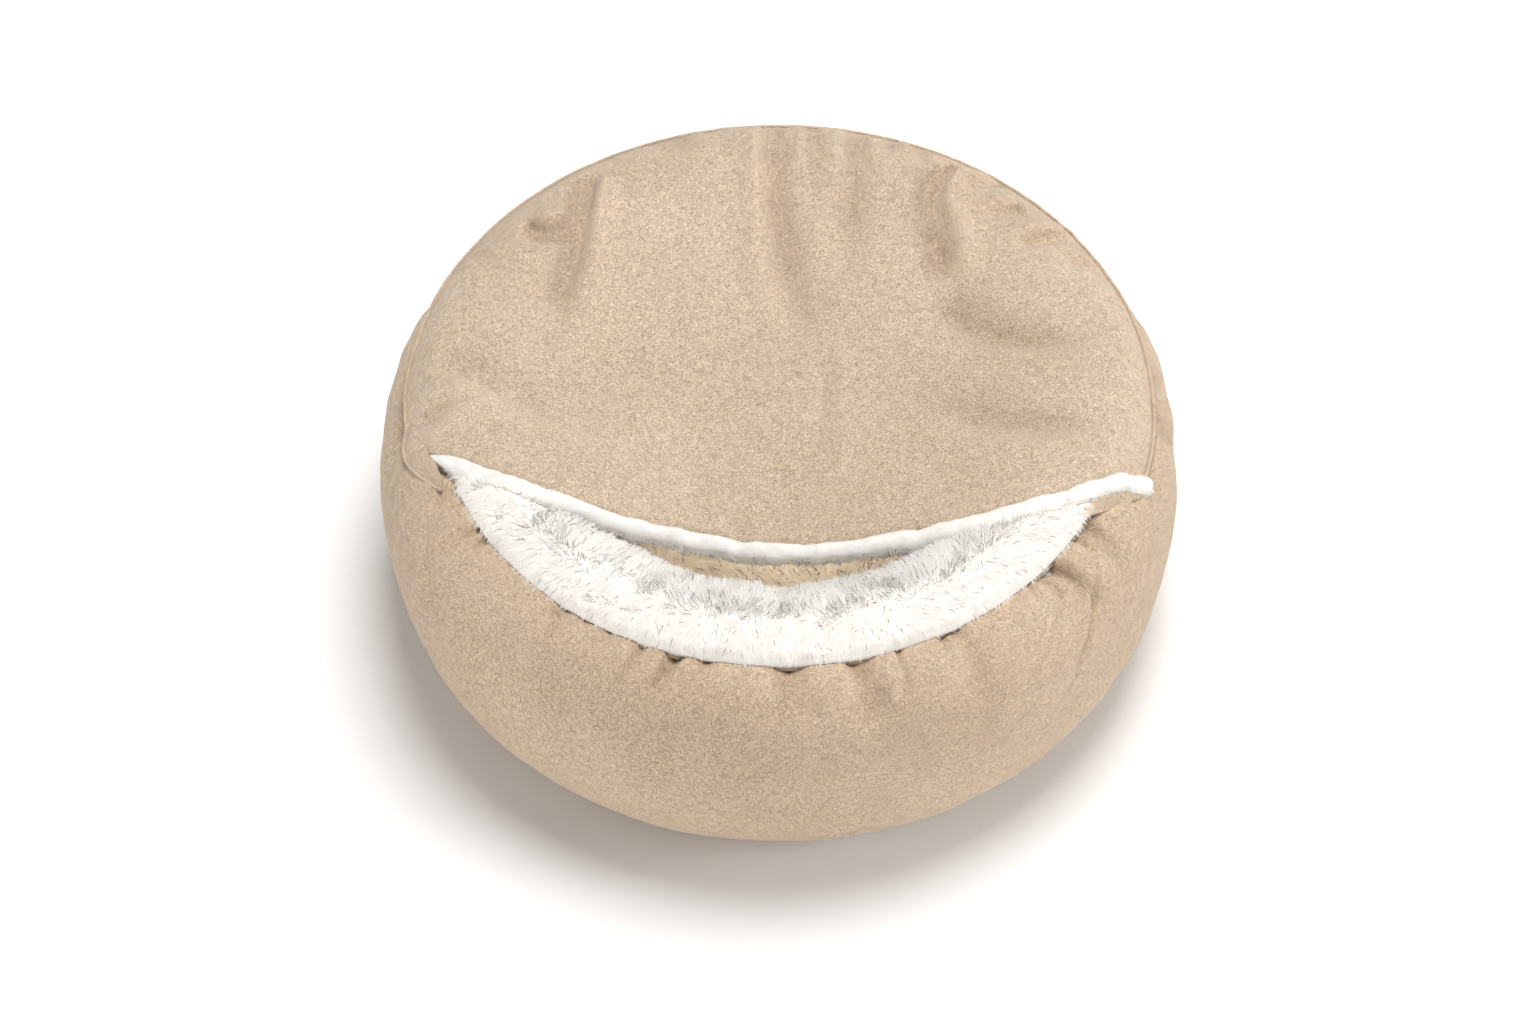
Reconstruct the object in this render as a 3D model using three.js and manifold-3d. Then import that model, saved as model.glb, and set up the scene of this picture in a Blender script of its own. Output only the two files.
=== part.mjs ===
// A hooded round pet bed: a stuffed ring bolster with a plush outside and a fur lining, a padded nest
// floor, and a lined hood sewn round the back whose free front edge folds up and back.
// Millimetres, +Z up. The origin is the centre of the underside, and the mouth faces -Y.
import * as THREE from "three";
import Module from "manifold-3d";
import { mergeVertices } from "three/addons/utils/BufferGeometryUtils.js";

const wasm = await Module();
wasm.setup();

// ---- driving dimensions ----
const RING_RADIUS = 220; // centre of the bolster's cross-section
const BOLSTER_HALF_WIDTH = 70;
const BOLSTER_BOTTOM = 2;
const BOLSTER_TOP = 200;
const BOLSTER_SQUARENESS = 2.5; // exponent of the cross-section's superellipse
const COVER = 3; // plush outer cover
const FUR = 8; // fur lining with its pile pressed flat
const GAP = 0.4; // between neighbouring pieces
const MOUTH_SEAM_RADIUS = 243;
const BASE_RADIUS = 224;
const BASE_THICKNESS = 1.5;
const NEST_WALL_FOOT = 56; // height at which the fur wall meets the nest floor's seam
const NEST_FLOOR_TOP = 52;
const NEST_RADIUS = 150.5;
const HOOD_RADIUS = 266; // the hood's sewn edge
const HOOD_REST_RADIUS = 195; // inside this radius the hood hangs free
const HOOD_MIDDLE_TOP = 180;
const HOOD_SHELL = 2.5;
const HOOD_LINING = 3.8;
const HOOD_CLEARANCE = 1.8; // between the lining and the bolster
const LAYER_GAP = 1.5; // between the hood's shell and lining
const MOUTH_DROOP = 14; // extra sag at the middle of the free edge
const LEFT_CORNER = [-256, -60];
const RIGHT_CORNER = [254, -78];
const HEM_POINTS = [LEFT_CORNER, [-200, -87], [-120, -111], [0, -128], [120, -122], [190, -107], RIGHT_CORNER];
const HEM_ROLL = 5; // radius of the rolled hem
const HEM_TURN_BACK = 9; // the lining stops this far behind the free edge
const FOLD_HALF_LENGTH = 200; // the fold line joins the two corners
const FOLD_CLEARANCE = 6; // open strip behind the fold line
const PIPING = 2.4;
const SEAM_CORD = 1.7;
const TAPE = 1.2;
const AROUND = 36; // segments round the bed

const BOLSTER_HALF_HEIGHT = (BOLSTER_TOP - BOLSTER_BOTTOM) / 2;
const BOLSTER_MIDDLE = (BOLSTER_TOP + BOLSTER_BOTTOM) / 2;

// ---- materials ----
const finish = (color, roughness) => new THREE.MeshStandardMaterial({ color, roughness, metalness: 0 });
const plush = finish(0xdcc6ad, 0.95);
const fur = finish(0xf4f1ed, 0.95);
const baseCloth = finish(0xbfb3a4, 0.85);
const filling = finish(0xf7f7f5, 0.9);
const thread = finish(0xd2bca1, 0.8);

const bed = new THREE.Group();

function addPiece(name, geometry, material) {
  const mesh = new THREE.Mesh(geometry, material);
  mesh.name = name;
  bed.add(mesh);
  return mesh;
}

// ---- shapes shared by several pieces ----

// A point of the bolster's cross-section, pulled in by a depth; angle 0 is the outside, 90 the top.
function bolsterPoint(degrees, depth = 0) {
  const angle = THREE.MathUtils.degToRad(degrees);
  const power = 2 / BOLSTER_SQUARENESS;
  const across = Math.sign(Math.cos(angle)) * Math.abs(Math.cos(angle)) ** power;
  const up = Math.sign(Math.sin(angle)) * Math.abs(Math.sin(angle)) ** power;
  return new THREE.Vector2(
    RING_RADIUS + (BOLSTER_HALF_WIDTH - depth) * across,
    BOLSTER_MIDDLE + (BOLSTER_HALF_HEIGHT - depth) * up,
  );
}

// The angle at which the upper half of the cross-section has this radius.
function bolsterAngle(radius) {
  const share = (radius - RING_RADIUS) / BOLSTER_HALF_WIDTH;
  const cosine = Math.sign(share) * Math.abs(share) ** (BOLSTER_SQUARENESS / 2);
  return THREE.MathUtils.radToDeg(Math.acos(cosine));
}

// Height of the bolster's upper surface at a radius.
function bolsterTop(radius) {
  const share = Math.abs((radius - RING_RADIUS) / BOLSTER_HALF_WIDTH);
  const rise = (1 - share ** BOLSTER_SQUARENESS) ** (1 / BOLSTER_SQUARENESS);
  return BOLSTER_MIDDLE + BOLSTER_HALF_HEIGHT * rise;
}

const HOOD_LIFT = HOOD_CLEARANCE + HOOD_LINING + LAYER_GAP + HOOD_SHELL; // hood's top above the bolster

// Height of the hood's upper surface at a radius, before the mouth's droop.
function hoodTop(radius) {
  if (radius > HOOD_REST_RADIUS) return bolsterTop(radius) + HOOD_LIFT;
  const rise = bolsterTop(HOOD_REST_RADIUS) + HOOD_LIFT - HOOD_MIDDLE_TOP;
  return HOOD_MIDDLE_TOP + rise * (radius / HOOD_REST_RADIUS) ** 2;
}

// How far the free edge sags below the rest of the hood.
function mouthDroop(x, y) {
  const hanging = 1 - THREE.MathUtils.smoothstep(Math.hypot(x, y), 150, HOOD_REST_RADIUS);
  return MOUTH_DROOP * hanging * Math.exp(-((x / 150) ** 2) - ((y + 135) / 55) ** 2);
}

// A solid of revolution about +Z from a closed outline of (radius, height) points.
function revolve(outline, segments = AROUND) {
  const closed = [...outline, outline[0].clone()];
  return new THREE.LatheGeometry(closed, segments).rotateX(Math.PI / 2);
}

function arc(from, to, steps, depth) {
  const points = [];
  for (let i = 0; i <= steps; i++) points.push(bolsterPoint(from + ((to - from) * i) / steps, depth));
  return points;
}

// A ring-shaped skin that follows the bolster between two angles.
function bolsterSkin(from, to, steps, thickness) {
  return revolve([...arc(from, to, steps, 0), ...arc(to, from, steps, thickness)]);
}

function polygonRing(radius, height, cordRadius, sides = 6) {
  const points = [];
  for (let i = 0; i < sides; i++) {
    const angle = (2 * Math.PI * (i + 0.5)) / sides;
    points.push(new THREE.Vector2(radius + cordRadius * Math.cos(angle), height + cordRadius * Math.sin(angle)));
  }
  return revolve(points);
}

function solidOf(geometry) {
  const bare = new THREE.BufferGeometry();
  bare.setAttribute("position", geometry.getAttribute("position"));
  if (geometry.index) bare.setIndex(geometry.index);
  const merged = mergeVertices(bare, 1e-3);
  return new wasm.Manifold(
    new wasm.Mesh({
      numProp: 3,
      vertProperties: new Float32Array(merged.attributes.position.array),
      triVerts: new Uint32Array(merged.index.array),
    }),
  );
}

function geometryOf(solid) {
  const mesh = solid.getMesh();
  const geometry = new THREE.BufferGeometry();
  geometry.setAttribute("position", new THREE.BufferAttribute(mesh.vertProperties, 3));
  geometry.setIndex(new THREE.BufferAttribute(mesh.triVerts, 1));
  return geometry;
}

// An upright prism over an outline of plan points, tall enough to cut the whole hood.
function prism(points) {
  const shape = new THREE.Shape(points.map(([x, y]) => new THREE.Vector2(x, y)));
  const geometry = new THREE.ExtrudeGeometry(shape, { depth: 2 * BOLSTER_TOP, bevelEnabled: false });
  return solidOf(geometry);
}

// ---- base and bolster ----
const COVER_FOOT = -bolsterAngle(BASE_RADIUS + 5);
const MOUTH_ANGLE = bolsterAngle(MOUTH_SEAM_RADIUS);
const WALL_FOOT_SINE = ((BOLSTER_MIDDLE - NEST_WALL_FOOT) / BOLSTER_HALF_HEIGHT) ** (BOLSTER_SQUARENESS / 2);
const WALL_FOOT = 180 + THREE.MathUtils.radToDeg(Math.asin(WALL_FOOT_SINE));
const UNDERSIDE = 266; // degrees: the filling lies on the base up to here
const SEAM_OPENING = 0.25; // degrees either side of the mouth seam
const COVER_STEPS = 10;
const LINING_STEPS = 9;

function disc(points) {
  const outline = points.map(([radius, height]) => new THREE.Vector2(radius, height));
  return new THREE.LatheGeometry(outline, AROUND).rotateX(Math.PI / 2);
}

function slab(radius, bottom, top) {
  return disc([[0, bottom], [radius, bottom], [radius, top], [0, top]]);
}

function makeBase() {
  addPiece("base_fabric", slab(BASE_RADIUS, 0, BASE_THICKNESS), baseCloth);
  const cordHeight = SEAM_CORD + 0.2;
  addPiece("base_seam_piping", polygonRing(BASE_RADIUS + 2.6, cordHeight, SEAM_CORD), thread);
}

function makeBolster() {
  const [coverEnd, liningStart] = [MOUTH_ANGLE - SEAM_OPENING, MOUTH_ANGLE + SEAM_OPENING];
  addPiece("bolster_outer_cover", bolsterSkin(COVER_FOOT, coverEnd, COVER_STEPS, COVER), plush);
  addPiece("bolster_fur_lining", bolsterSkin(liningStart, WALL_FOOT, LINING_STEPS, FUR), fur);
  const stuffed = [
    ...arc(COVER_FOOT, coverEnd, COVER_STEPS, COVER + GAP).slice(0, -1),
    ...arc(liningStart, WALL_FOOT, LINING_STEPS, FUR + GAP),
    ...arc(WALL_FOOT + 3, UNDERSIDE, 3, GAP),
  ];
  addPiece("bolster_filling", revolve(stuffed), filling);
  const wall = [[151.4, 1.9], [152.6, 1.9], [152.6, 46], [151.4, 46]];
  const wallOutline = wall.map(([radius, height]) => new THREE.Vector2(radius, height));
  addPiece("bolster_divider_wall", revolve(wallOutline), baseCloth);
}

// The tape inside the mouth seam, under the edge of the outer cover.
function makeMouthSeam() {
  const [from, to] = [MOUTH_ANGLE - 4, MOUTH_ANGLE - 1];
  const depth = COVER + 3 * GAP;
  const seam = [...arc(from, to, 1, depth), ...arc(to, from, 1, depth + TAPE)];
  addPiece("mouth_seam_tape", revolve(seam), thread);
}

function makeNestFloor() {
  addPiece("nest_pad_filling", slab(NEST_RADIUS - GAP, BASE_THICKNESS + GAP, 42), filling);
  const furOutline = [
    [0, 42.4], [NEST_RADIUS, 42.4], [NEST_RADIUS, NEST_FLOOR_TOP - 2], [NEST_RADIUS - 3.5, NEST_FLOOR_TOP],
    [NEST_RADIUS - 14, NEST_FLOOR_TOP], [NEST_RADIUS * 0.6, NEST_FLOOR_TOP - 2], [0, NEST_FLOOR_TOP - 3],
  ];
  addPiece("nest_floor_fur", disc(furOutline), fur);
  addPiece("nest_seam_tape", polygonRing(NEST_RADIUS + 2.7, NEST_FLOOR_TOP - 0.5, 1.3), thread);
}

// ---- hood ----
const HOOD_RINGS = [0, 70, 120, 155, 180, 195, 208, 222, 235, 245, 253, 260, HOOD_RADIUS];

// The whole hood as a sheet whose top lies this far below the hood's top surface.
function hoodSheet(depth, thickness) {
  const top = HOOD_RINGS.map((radius) => new THREE.Vector2(radius, hoodTop(radius) - depth));
  const bottom = HOOD_RINGS.map((radius) => new THREE.Vector2(radius, hoodTop(radius) - depth - thickness));
  const geometry = new THREE.LatheGeometry([...bottom, ...top.reverse()], AROUND).rotateX(Math.PI / 2);
  const position = geometry.getAttribute("position");
  for (let i = 0; i < position.count; i++) {
    position.setZ(i, position.getZ(i) - mouthDroop(position.getX(i), position.getY(i)));
  }
  return solidOf(geometry);
}

const hemCurve = new THREE.CatmullRomCurve3(HEM_POINTS.map(([x, y]) => new THREE.Vector3(x, y, 0)));
const cornerAngle = ([x, y]) => Math.atan2(y, x);

// The hood's outline in plan, with its free edge moved back towards the hinge.
function hoodOutline(moveBack) {
  const points = hemCurve.getPoints(16).map((point) => [point.x, point.y + moveBack]);
  const start = cornerAngle(RIGHT_CORNER);
  const sweep = cornerAngle(LEFT_CORNER) + 2 * Math.PI - start;
  const steps = 12;
  for (let i = 0; i <= steps; i++) {
    const angle = start + (sweep * i) / steps;
    points.push([1.2 * HOOD_RADIUS * Math.cos(angle), 1.2 * HOOD_RADIUS * Math.sin(angle)]);
  }
  return points;
}

const left = new THREE.Vector2(...LEFT_CORNER);
const right = new THREE.Vector2(...RIGHT_CORNER);
const foldMiddle = left.clone().add(right).multiplyScalar(0.5);
const alongFold = right.clone().sub(left).normalize();
const towardsMouth = new THREE.Vector2(alongFold.y, -alongFold.x);

// A box in plan, square to the fold line, from one distance in front of it to another.
function foldWindow(halfLength, from, to) {
  const corner = (along, ahead) => {
    const point = foldMiddle.clone().addScaledVector(alongFold, along).addScaledVector(towardsMouth, ahead);
    return [point.x, point.y];
  };
  return prism([
    corner(-halfLength, to), corner(halfLength, to), corner(halfLength, from), corner(-halfLength, from),
  ]);
}

function makeHoodLayer(layer, depth, thickness, moveBack, material) {
  const sheet = hoodSheet(depth, thickness).intersect(prism(hoodOutline(moveBack)));
  const reach = 2 * HOOD_RADIUS;
  const slot = foldWindow(FOLD_HALF_LENGTH + 1, -FOLD_CLEARANCE, reach);
  const flap = foldWindow(FOLD_HALF_LENGTH, GAP, reach);
  addPiece("hood_rear_" + layer, geometryOf(sheet.subtract(slot)), material);
  addPiece("hood_flap_" + layer, geometryOf(sheet.intersect(flap)), material);
}

function slopeFactor(radius) {
  const slope = (bolsterTop(radius + 1) - bolsterTop(radius - 1)) / 2;
  return Math.hypot(1, slope);
}

// Height of the hem roll's middle: beside the hood's edge, and clear of the bolster under it.
function hemHeight(x, y) {
  const radius = Math.hypot(x, y);
  const hanging = hoodTop(radius) - mouthDroop(x, y) - HEM_ROLL - 1;
  if (radius < 165) return hanging;
  return Math.max(hanging, bolsterTop(radius) + (HEM_ROLL + 1.4) * slopeFactor(radius));
}

function tubeAlong(points, radius, sides, steps) {
  const section = new THREE.Shape();
  for (let i = 0; i < sides; i++) {
    const angle = (2 * Math.PI * i) / sides;
    const [x, y] = [radius * Math.cos(angle), radius * Math.sin(angle)];
    if (i === 0) section.moveTo(x, y);
    else section.lineTo(x, y);
  }
  const path = new THREE.CatmullRomCurve3(points);
  return new THREE.ExtrudeGeometry(section, { steps, extrudePath: path, bevelEnabled: false });
}

function hemPiece(name, fromX, toX, steps) {
  const points = [];
  for (const point of hemCurve.getPoints(60)) {
    if (point.x < fromX || point.x > toX) continue;
    const y = point.y - HEM_ROLL - 1.2;
    points.push(new THREE.Vector3(point.x, y, hemHeight(point.x, y)));
  }
  return addPiece(name, tubeAlong(points, HEM_ROLL, 8, steps), fur);
}

function makeHem() {
  hemPiece("hood_hem_roll", 2 - FOLD_HALF_LENGTH, FOLD_HALF_LENGTH - 2, 24);
  hemPiece("hood_hem_end_left", -252, -2 - FOLD_HALF_LENGTH, 5);
  hemPiece("hood_hem_end_right", FOLD_HALF_LENGTH + 2, 250, 5);
}

function makeHoodPiping() {
  const radius = HOOD_RADIUS + 4.4;
  const height = bolsterTop(radius) + (PIPING + GAP) * slopeFactor(radius);
  const start = cornerAngle(RIGHT_CORNER);
  const sweep = cornerAngle(LEFT_CORNER) + 2 * Math.PI - start;
  const points = [];
  for (let i = 0; i <= AROUND; i++) {
    const angle = start + (sweep * i) / AROUND;
    points.push(new THREE.Vector3(radius * Math.cos(angle), radius * Math.sin(angle), height));
  }
  addPiece("hood_seam_piping", tubeAlong(points, PIPING, 6, AROUND), plush);
}

makeBase();
makeBolster();
makeMouthSeam();
makeNestFloor();
makeHoodLayer("shell", 0, HOOD_SHELL, 0, plush);
makeHoodLayer("lining", HOOD_SHELL + LAYER_GAP, HOOD_LINING, HEM_TURN_BACK, fur);
makeHem();
makeHoodPiping();

export default bed;
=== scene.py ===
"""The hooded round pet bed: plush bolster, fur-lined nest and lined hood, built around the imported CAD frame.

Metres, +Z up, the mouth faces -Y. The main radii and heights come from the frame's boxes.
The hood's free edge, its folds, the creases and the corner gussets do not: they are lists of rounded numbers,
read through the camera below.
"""

import math

import bpy
import numpy as np
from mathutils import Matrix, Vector
from mathutils.kdtree import KDTree


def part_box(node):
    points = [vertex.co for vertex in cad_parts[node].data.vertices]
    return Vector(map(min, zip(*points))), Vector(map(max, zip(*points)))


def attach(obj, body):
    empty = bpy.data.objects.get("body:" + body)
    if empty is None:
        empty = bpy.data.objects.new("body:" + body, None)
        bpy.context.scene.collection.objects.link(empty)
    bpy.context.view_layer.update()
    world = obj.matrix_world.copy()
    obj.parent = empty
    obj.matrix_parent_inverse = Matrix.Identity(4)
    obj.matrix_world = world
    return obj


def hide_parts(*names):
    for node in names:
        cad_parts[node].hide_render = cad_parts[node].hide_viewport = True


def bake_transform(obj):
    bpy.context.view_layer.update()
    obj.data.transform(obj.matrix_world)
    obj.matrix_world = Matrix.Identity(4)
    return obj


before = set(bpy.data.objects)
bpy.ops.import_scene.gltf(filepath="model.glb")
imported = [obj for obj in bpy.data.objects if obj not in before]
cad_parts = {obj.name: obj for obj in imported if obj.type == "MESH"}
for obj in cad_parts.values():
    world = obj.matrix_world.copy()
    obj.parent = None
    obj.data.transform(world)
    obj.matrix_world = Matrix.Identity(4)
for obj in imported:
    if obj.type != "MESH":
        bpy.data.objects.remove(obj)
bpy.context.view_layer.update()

# ---- the bed's own geometry, read from the CAD boxes ----
COVER_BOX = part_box("bolster_outer_cover")
LINING_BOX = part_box("bolster_fur_lining")
BASE_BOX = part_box("base_fabric")
PAD_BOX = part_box("nest_floor_fur")
HOOD_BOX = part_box("hood_rear_shell")

OUTER_RADIUS = COVER_BOX[1][0]
BOLSTER_HALF_WIDTH = 0.070
RING_RADIUS = OUTER_RADIUS - BOLSTER_HALF_WIDTH
BOLSTER_TOP = LINING_BOX[1][2]
BOLSTER_BOTTOM = 0.002
BOLSTER_MIDDLE = (BOLSTER_TOP + BOLSTER_BOTTOM) / 2
BOLSTER_HALF_HEIGHT = (BOLSTER_TOP - BOLSTER_BOTTOM) / 2
SQUARENESS = 2.5  # exponent of the cross-section's superellipse; 2 is an ellipse
MOUTH_SEAM_RADIUS = 0.243
BASE_RADIUS = BASE_BOX[1][0]
NEST_RADIUS = PAD_BOX[1][0]
NEST_TOP = PAD_BOX[1][2]
HOOD_RADIUS = HOOD_BOX[1][0]
HOOD_REST_RADIUS = 0.195
HOOD_MIDDLE_TOP = 0.180
# The hood's free edge in plan, from its left corner to its right.
HEM_POINTS = [
    (-0.2580, -0.054), (-0.200, -0.085), (-0.120, -0.111), (0.0, -0.128),
    (0.120, -0.122), (0.190, -0.106), (0.2548, -0.0752),
]

CAMERA_DISTANCE = 2.8
CAMERA_ELEVATION = math.radians(51.8)
CAMERA_AIM = Vector((-0.008, 0.0, 0.053))
CAMERA_LENS = 88.6
SENSOR_WIDTH = 36


# ---- noise and curve helpers ----
def lattice_noise(points, seed):
    """Smooth noise from -1 to 1 on an (n, 3) array, one unit of length per lattice cell."""
    size = 64
    table = np.random.default_rng(seed).uniform(-1, 1, (size, size, size))
    cell = np.floor(points).astype(int)
    part = points - cell
    part = part * part * (3 - 2 * part)
    total = np.zeros(len(points))
    for corner in range(8):
        step = np.array([corner & 1, corner >> 1 & 1, corner >> 2 & 1])
        at = (cell + step) % size
        share = np.prod(np.where(step, part, 1 - part), axis=1)
        total += share * table[at[:, 0], at[:, 1], at[:, 2]]
    return total


def layered_noise(points, cell, seed, octaves=3):
    total = np.zeros(len(points))
    weight = 1.0
    for octave in range(octaves):
        total += weight * lattice_noise(points / cell * 2**octave + 17.3 * octave, seed + octave)
        weight *= 0.5
    return total


def grid_noise(grid, cell, seed, octaves):
    """Layered noise over a (rows, columns, 3) grid of points."""
    return layered_noise(grid.reshape(-1, 3), cell, seed, octaves).reshape(grid.shape[:2])


def plan_noise(x, y, cell, seed, octaves):
    """Layered noise over points in plan."""
    flat = np.column_stack([x.ravel(), y.ravel(), np.zeros(x.size)])
    return layered_noise(flat, cell, seed, octaves).reshape(x.shape)


def swirl_noise(points, cell, first_seed):
    """A direction that wanders smoothly over the points."""
    return np.column_stack([layered_noise(points, cell, first_seed + k, 1) for k in range(3)])


def smoothstep(low, high, value):
    t = np.clip((value - low) / (high - low), 0, 1)
    return t * t * (3 - 2 * t)


def spline(points, count):
    """count points, evenly spaced by length, on a Catmull-Rom curve through the given ones."""
    p = np.array(points, float)
    p = np.vstack([2 * p[0] - p[1], p, 2 * p[-1] - p[-2]])
    dense = []
    for i in range(1, len(p) - 2):
        t = np.linspace(0, 1, 60, endpoint=False)[:, None]
        a, b, c, d = p[i - 1], p[i], p[i + 1], p[i + 2]
        dense.append(
            0.5 * (2 * b + (c - a) * t + (2 * a - 5 * b + 4 * c - d) * t**2 + (3 * b - a - 3 * c + d) * t**3)
        )
    return evenly(np.vstack(dense + [p[-2]]), count)


def unit(vectors):
    return vectors / np.maximum(np.linalg.norm(vectors, axis=1, keepdims=True), 1e-12)


def distance_along(path):
    return np.concatenate([[0], np.cumsum(np.linalg.norm(np.diff(path, axis=0), axis=1))])


def evenly(path, count):
    """count points evenly spaced by length along a polyline."""
    length = distance_along(path)
    at = np.linspace(0, length[-1], count)
    return np.stack([np.interp(at, length, path[:, k]) for k in range(path.shape[1])], axis=1)


# ---- mesh helpers ----
def new_mesh(name, vertices, faces, smooth=True):
    """An object from an (n, 3) array of points and a list of (m, k) arrays of faces."""
    mesh = bpy.data.meshes.new(name)
    vertices = np.asarray(vertices, np.float32)
    faces = [np.asarray(f, np.int32) for f in faces if len(f)]
    sizes = np.concatenate([np.full(len(f), f.shape[1], np.int32) for f in faces])
    loops = np.concatenate([f.ravel() for f in faces])
    mesh.vertices.add(len(vertices))
    mesh.vertices.foreach_set("co", vertices.ravel())
    mesh.loops.add(len(loops))
    mesh.loops.foreach_set("vertex_index", loops)
    mesh.polygons.add(len(sizes))
    mesh.polygons.foreach_set("loop_start", np.concatenate([[0], np.cumsum(sizes)[:-1]]).astype(np.int32))
    mesh.polygons.foreach_set("use_smooth", np.full(len(sizes), smooth))
    mesh.update(calc_edges=True)
    mesh.validate()
    piece = bpy.data.objects.new(name, mesh)
    bpy.context.scene.collection.objects.link(piece)
    return piece


def grid_faces(rows, columns, wrap_rows=False, wrap_columns=False, start=0):
    """Quads of a (rows, columns) grid of points numbered row by row."""
    i = np.arange(rows if wrap_rows else rows - 1)[:, None]
    j = np.arange(columns if wrap_columns else columns - 1)[None, :]
    down, across = (i + 1) % rows, (j + 1) % columns
    corners = (i * columns + j, down * columns + j, down * columns + across, i * columns + across)
    quads = np.stack(np.broadcast_arrays(*corners), axis=-1)
    return quads.reshape(-1, 4) + start


def grid_normals(points, wrap_rows=False):
    """Unit normals of a (rows, columns, 3) grid, down the rows crossed with across the columns."""
    if wrap_rows:
        down = np.roll(points, -1, axis=0) - np.roll(points, 1, axis=0)
    else:
        down = np.gradient(points, axis=0)
    across = np.gradient(points, axis=1)
    normal = np.cross(down, across)
    return normal / np.maximum(np.linalg.norm(normal, axis=2, keepdims=True), 1e-12)


def mark_fold_shade(piece, move, scale):
    """Stores how deep each point lies in a fold, from 0 to 1, as painted shade: the plush material darkens its
    colour by it.
    """
    values = np.zeros(len(piece.data.vertices), np.float32)
    values[: move.size] = smoothstep(0, scale, -move.ravel())
    piece.data.attributes.new("fold_shade", "FLOAT", "POINT").data.foreach_set("value", values)


def dress(piece, material, body):
    piece.data.materials.clear()
    piece.data.materials.append(material)
    if body:
        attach(piece, body)
    return piece


# ---- the bolster's cross-section ----
def section(degrees, depth=0.0):
    """Radius and height on the bolster's cross-section; 0 is outside, 90 the top, 180 the nest side."""
    angle = np.radians(degrees)
    power = 2 / SQUARENESS
    across = np.sign(np.cos(angle)) * np.abs(np.cos(angle)) ** power
    up = np.sign(np.sin(angle)) * np.abs(np.sin(angle)) ** power
    radius = RING_RADIUS + (BOLSTER_HALF_WIDTH - depth) * across
    height = BOLSTER_MIDDLE + (BOLSTER_HALF_HEIGHT - depth) * up
    return np.stack([radius, height], axis=-1)


def section_angle(radius):
    share = (radius - RING_RADIUS) / BOLSTER_HALF_WIDTH
    return math.degrees(math.acos(math.copysign(abs(share) ** (SQUARENESS / 2), share)))


def bolster_top(radius):
    share = np.clip(np.abs((radius - RING_RADIUS) / BOLSTER_HALF_WIDTH), 0, 0.999)
    return BOLSTER_MIDDLE + BOLSTER_HALF_HEIGHT * (1 - share**SQUARENESS) ** (1 / SQUARENESS)


def section_path(start, end, count):
    """Evenly spaced (radius, height) points of the cross-section between two angles, and their normals."""
    path = evenly(section(np.linspace(start, end, 1500)), count)
    along = np.gradient(path, axis=0)
    normal = np.stack([along[:, 1], -along[:, 0]], axis=1)
    return path, unit(normal)


def sweep_round(path, around):
    """Turns a (radius, height) path into a (around, len(path), 3) grid about +Z."""
    angle = np.linspace(0, 2 * np.pi, around, endpoint=False)[:, None]
    x = path[None, :, 0] * np.cos(angle)
    y = path[None, :, 0] * np.sin(angle)
    z = np.broadcast_to(path[None, :, 1], x.shape)
    return np.stack([x, y, z], axis=2)


def closed_band(name, outer, inner):
    """A closed ring-shaped skin from two (around, across, 3) grids that wrap round."""
    rows, columns = outer.shape[:2]
    count = rows * columns
    faces = [grid_faces(rows, columns, wrap_rows=True)]
    faces.append(grid_faces(rows, columns, wrap_rows=True, start=count)[:, ::-1])
    i = np.arange(rows)
    after = (i + 1) % rows
    last = columns - 1
    near, near_after = i * columns, after * columns
    far, far_after = near + last, near_after + last
    faces.append(np.stack([near_after, near, count + near, count + near_after], axis=1))
    faces.append(np.stack([far, far_after, count + far_after, count + far], axis=1))
    return new_mesh(name, np.concatenate([outer.reshape(-1, 3), inner.reshape(-1, 3)]), faces)


# ---- materials ----
def node(tree, kind, **values):
    made = tree.nodes.new(kind)
    for key, value in values.items():
        if key in made.inputs:
            made.inputs[key].default_value = value
        else:
            setattr(made, key, value)
    return made


def set_inputs(made, values):
    for key, value in values.items():
        made.inputs[key].default_value = value


def new_material(name):
    material = bpy.data.materials.new(name)
    material.use_nodes = True
    tree = material.node_tree
    shader = tree.nodes["Principled BSDF"]
    place = tree.nodes.new("ShaderNodeTexCoord").outputs["Object"]
    return material, tree, shader, place


def ramp(tree, source, stops):
    made = tree.nodes.new("ShaderNodeValToRGB")
    elements = made.color_ramp.elements
    while len(elements) > 1:
        elements.remove(elements[-1])
    elements[0].position, elements[0].color = stops[0]
    for position, color in stops[1:]:
        elements.new(position).color = color
    tree.links.new(source, made.inputs["Fac"])
    return made.outputs["Color"]


def grey(value):
    return (value, value, value, 1)


def noise_texture(tree, place, scale, detail=2.0, distortion=0.0, roughness=0.5):
    made = node(tree, "ShaderNodeTexNoise", Scale=scale, Detail=detail)
    set_inputs(made, {"Distortion": distortion, "Roughness": roughness})
    tree.links.new(place, made.inputs["Vector"])
    return made.outputs["Fac"]


def feed(tree, socket, value):
    """Links another node's output to a socket, or sets a plain value on it."""
    if isinstance(value, bpy.types.NodeSocket):
        tree.links.new(value, socket)
    else:
        socket.default_value = value


def mix_color(tree, factor, a, b, blend="MIX"):
    made = tree.nodes.new("ShaderNodeMix")
    made.data_type = "RGBA"
    made.blend_type = blend
    # The node keeps one set of sockets per data type: 0 is the factor, 6 and 7 the two colours, 2 the result.
    for index, value in ((0, factor), (6, a), (7, b)):
        feed(tree, made.inputs[index], value)
    return made.outputs[2]


def math_node(tree, operation, a, b=0.0):
    made = tree.nodes.new("ShaderNodeMath")
    made.operation = operation
    for socket, value in zip(made.inputs, (a, b)):
        feed(tree, socket, value)
    return made.outputs[0]


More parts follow.
